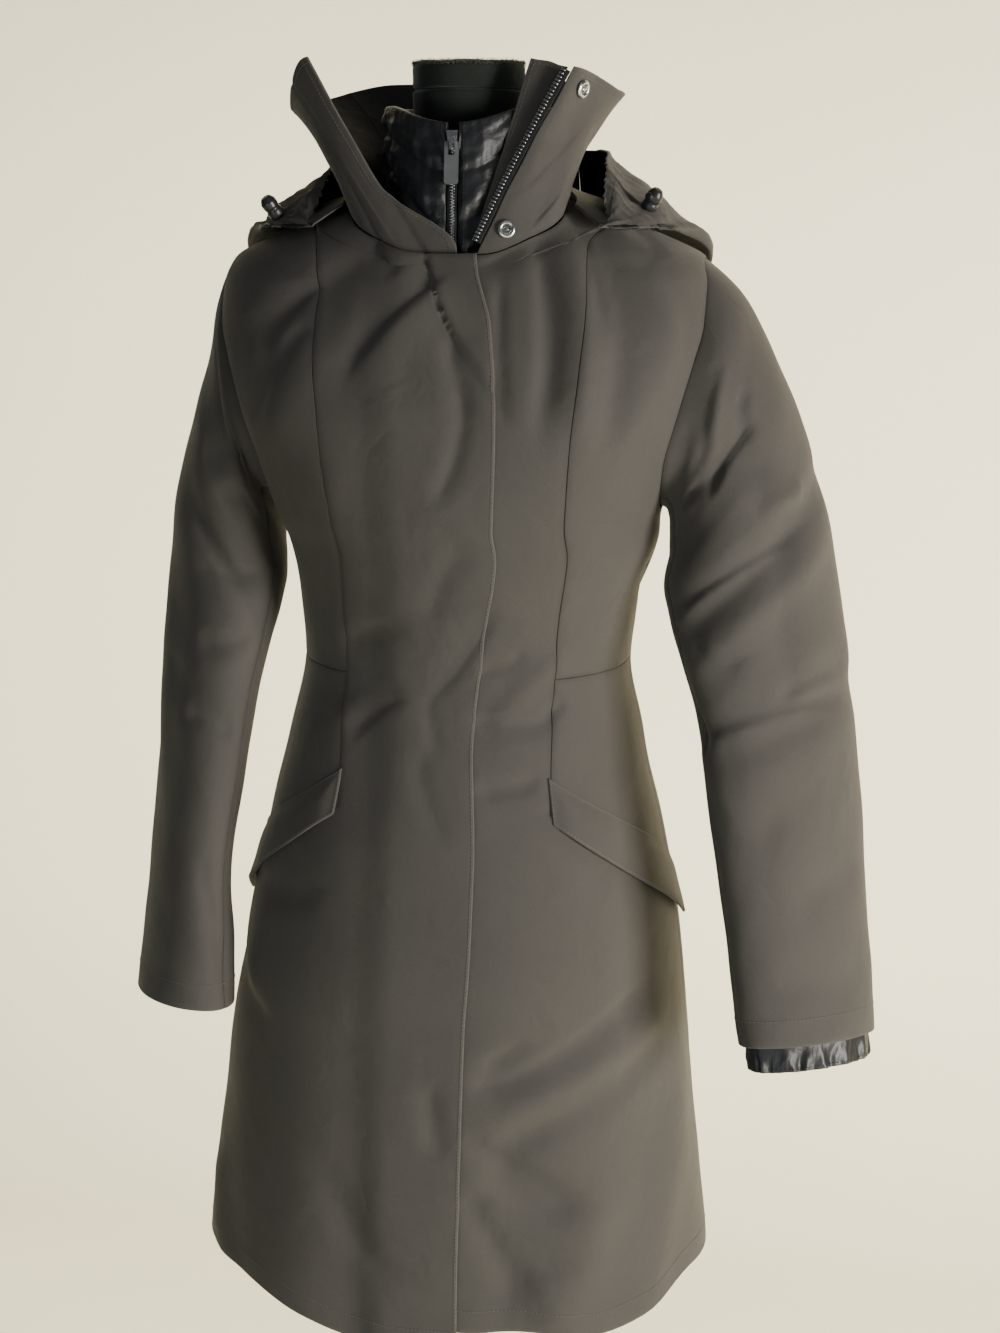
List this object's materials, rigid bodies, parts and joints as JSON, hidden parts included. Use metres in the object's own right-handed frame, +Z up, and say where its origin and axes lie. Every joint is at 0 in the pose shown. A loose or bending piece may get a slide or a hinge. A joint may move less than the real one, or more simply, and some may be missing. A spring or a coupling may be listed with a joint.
{
  "type": "parka coat on a dress form stand",
  "caption": "Long fitted hooded parka with an open stand collar, fly front, slanted pockets and padded inner collar, worn by a limbless dress form on a round-based stand.",
  "frame": {"origin": "middle of the stand base's underside, on the floor", "axes": "+Z up, the coat's front faces -Y, +X is the wearer's left"},
  "size_m": [0.6469, 0.38, 1.555],
  "materials": {
    "shell": "matte woven",
    "liner": "slightly shiny quilted",
    "zip": "matte tape",
    "metal": "bright",
    "tab": "satin",
    "cord_lock": "satin",
    "form": "velvety",
    "pole": "polished",
    "base": "satin black"
  },
  "bodies": {
    "coat_and_stand": {"front_right": "shell", "front_left": "shell", "side_front_bodice_right": "shell", "side_front_hip_right": "shell", "side_front_bodice_left": "shell", "side_front_hip_left": "shell", "side_back_right": "shell", "centre_back_right": "shell", "side_back_left": "shell", "centre_back_left": "shell", "pocket_welt_right": "shell", "pocket_welt_left": "shell", "sleeve_upper_right": "shell", "sleeve_under_right": "shell", "sleeve_upper_left": "shell", "sleeve_under_left": "shell", "collar_right": "shell", "collar_left": "shell", "collar_back": "shell", "facing_left": "shell", "hood_right": "shell", "hood_left": "shell", "hood_centre": "shell", "liner_collar_right": "liner", "liner_collar_left": "liner", "liner_collar_back": "liner", "liner_cuff_front": "liner", "liner_cuff_back": "liner", "main_zip_tape": "zip", "liner_zip_tape": "zip", "pocket_zip_right": "zip", "pocket_zip_left": "zip", "snap_upper": "metal", "snap_lower": "metal", "snap_stud": "metal", "liner_slider": "metal", "cord_lock_right": "cord_lock", "cord_lock_left": "cord_lock", "form_torso": "form", "neck_block": "form", "stand_pole": "pole", "stand_base": "base"},
    "pull_tab": {"liner_pull_tab": "tab"}
  },
  "joints": [
    {"name": "pull_tab_swing", "type": "hinge", "parent": "coat_and_stand", "child": "pull_tab", "pos_m": [0, -0.07874, 1.488], "axis": [-1, 0, 0], "range_deg": [0, 140]}
  ]
}
